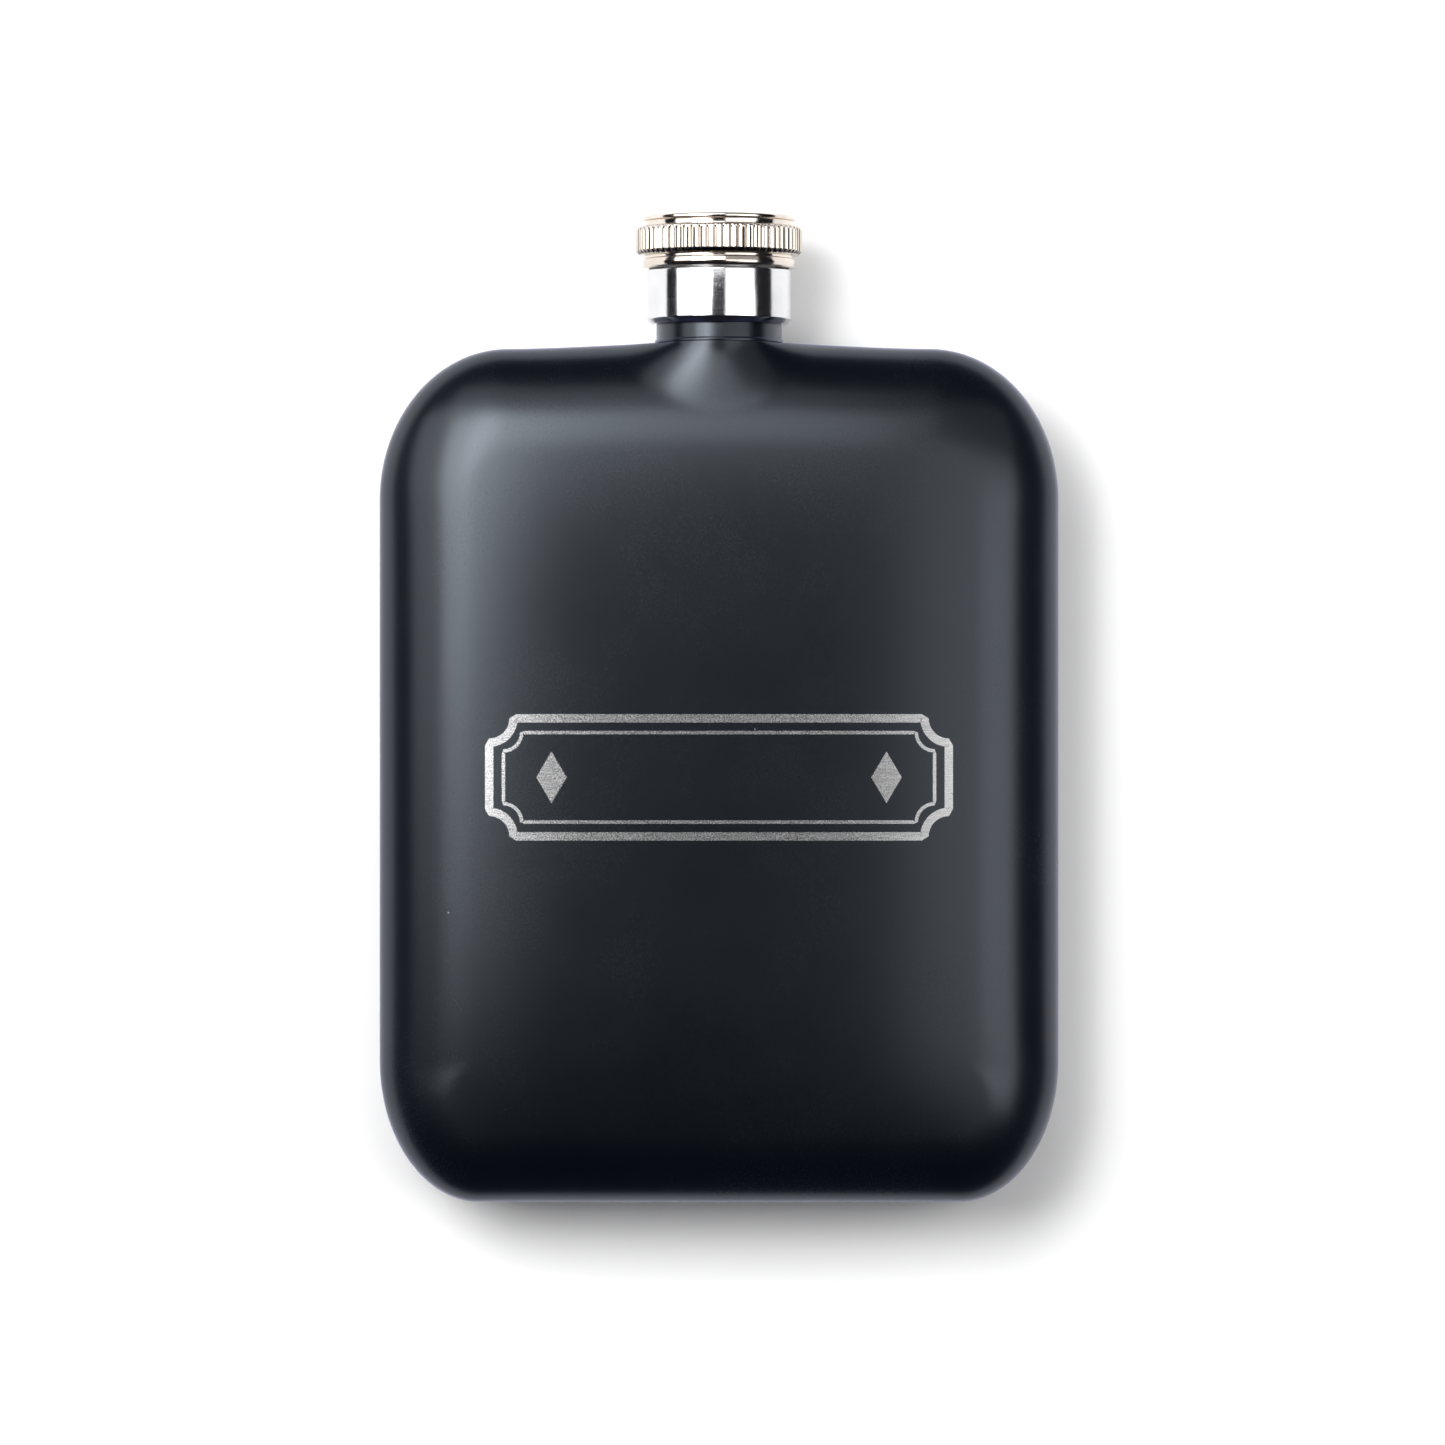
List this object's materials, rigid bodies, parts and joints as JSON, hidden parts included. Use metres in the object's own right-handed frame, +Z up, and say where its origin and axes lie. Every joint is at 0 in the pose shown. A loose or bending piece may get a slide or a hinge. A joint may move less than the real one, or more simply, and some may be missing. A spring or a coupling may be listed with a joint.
{
  "type": "hip flask",
  "caption": "Slim pocket hip flask in near-black powder-coated steel with softly pillowed faces, a bare steel neck and a knurled screw cap that unscrews.",
  "frame": {"origin": "on the ground under the neck's axis, at the middle of the base's flat land", "axes": "+Z up the neck, X along the width, Y through the thickness with the front face towards -Y and the slightly bowed back towards +Y"},
  "size_m": [0.09, 0.0223, 0.1305],
  "materials": {
    "body_coat": "fine-grained satin powder coat, blue-black",
    "neck_steel": "polished, with fine grain round the neck",
    "spout_steel": "turned",
    "cap_metal": "warm nickel plate",
    "liner_plastic": "moulded, satin",
    "seal_rubber": "matte silicone"
  },
  "bodies": {
    "flask": {"front_shell": "body_coat", "back_shell": "body_coat", "neck_ferrule": "body_coat", "neck_collar": "neck_steel", "threaded_spout": "spout_steel"},
    "seal": {"cap_seal": "seal_rubber"},
    "cap": {"cap_shell": "cap_metal", "cap_liner": "liner_plastic"}
  },
  "joints": [
    {"name": "cap_rise", "type": "slide", "parent": "flask", "child": "seal", "axis": [0, 0, 1], "range_m": [0, 0.0072]},
    {"name": "cap_turn", "type": "hinge", "parent": "seal", "child": "cap", "pos_m": [0, 0, 0.1236], "axis": [0, 0, 1], "range_deg": [0, 1080]}
  ],
  "couplings": [
    {"joint": "cap_rise", "follows": "cap_turn", "m_per_rad": 0.00038197}
  ]
}
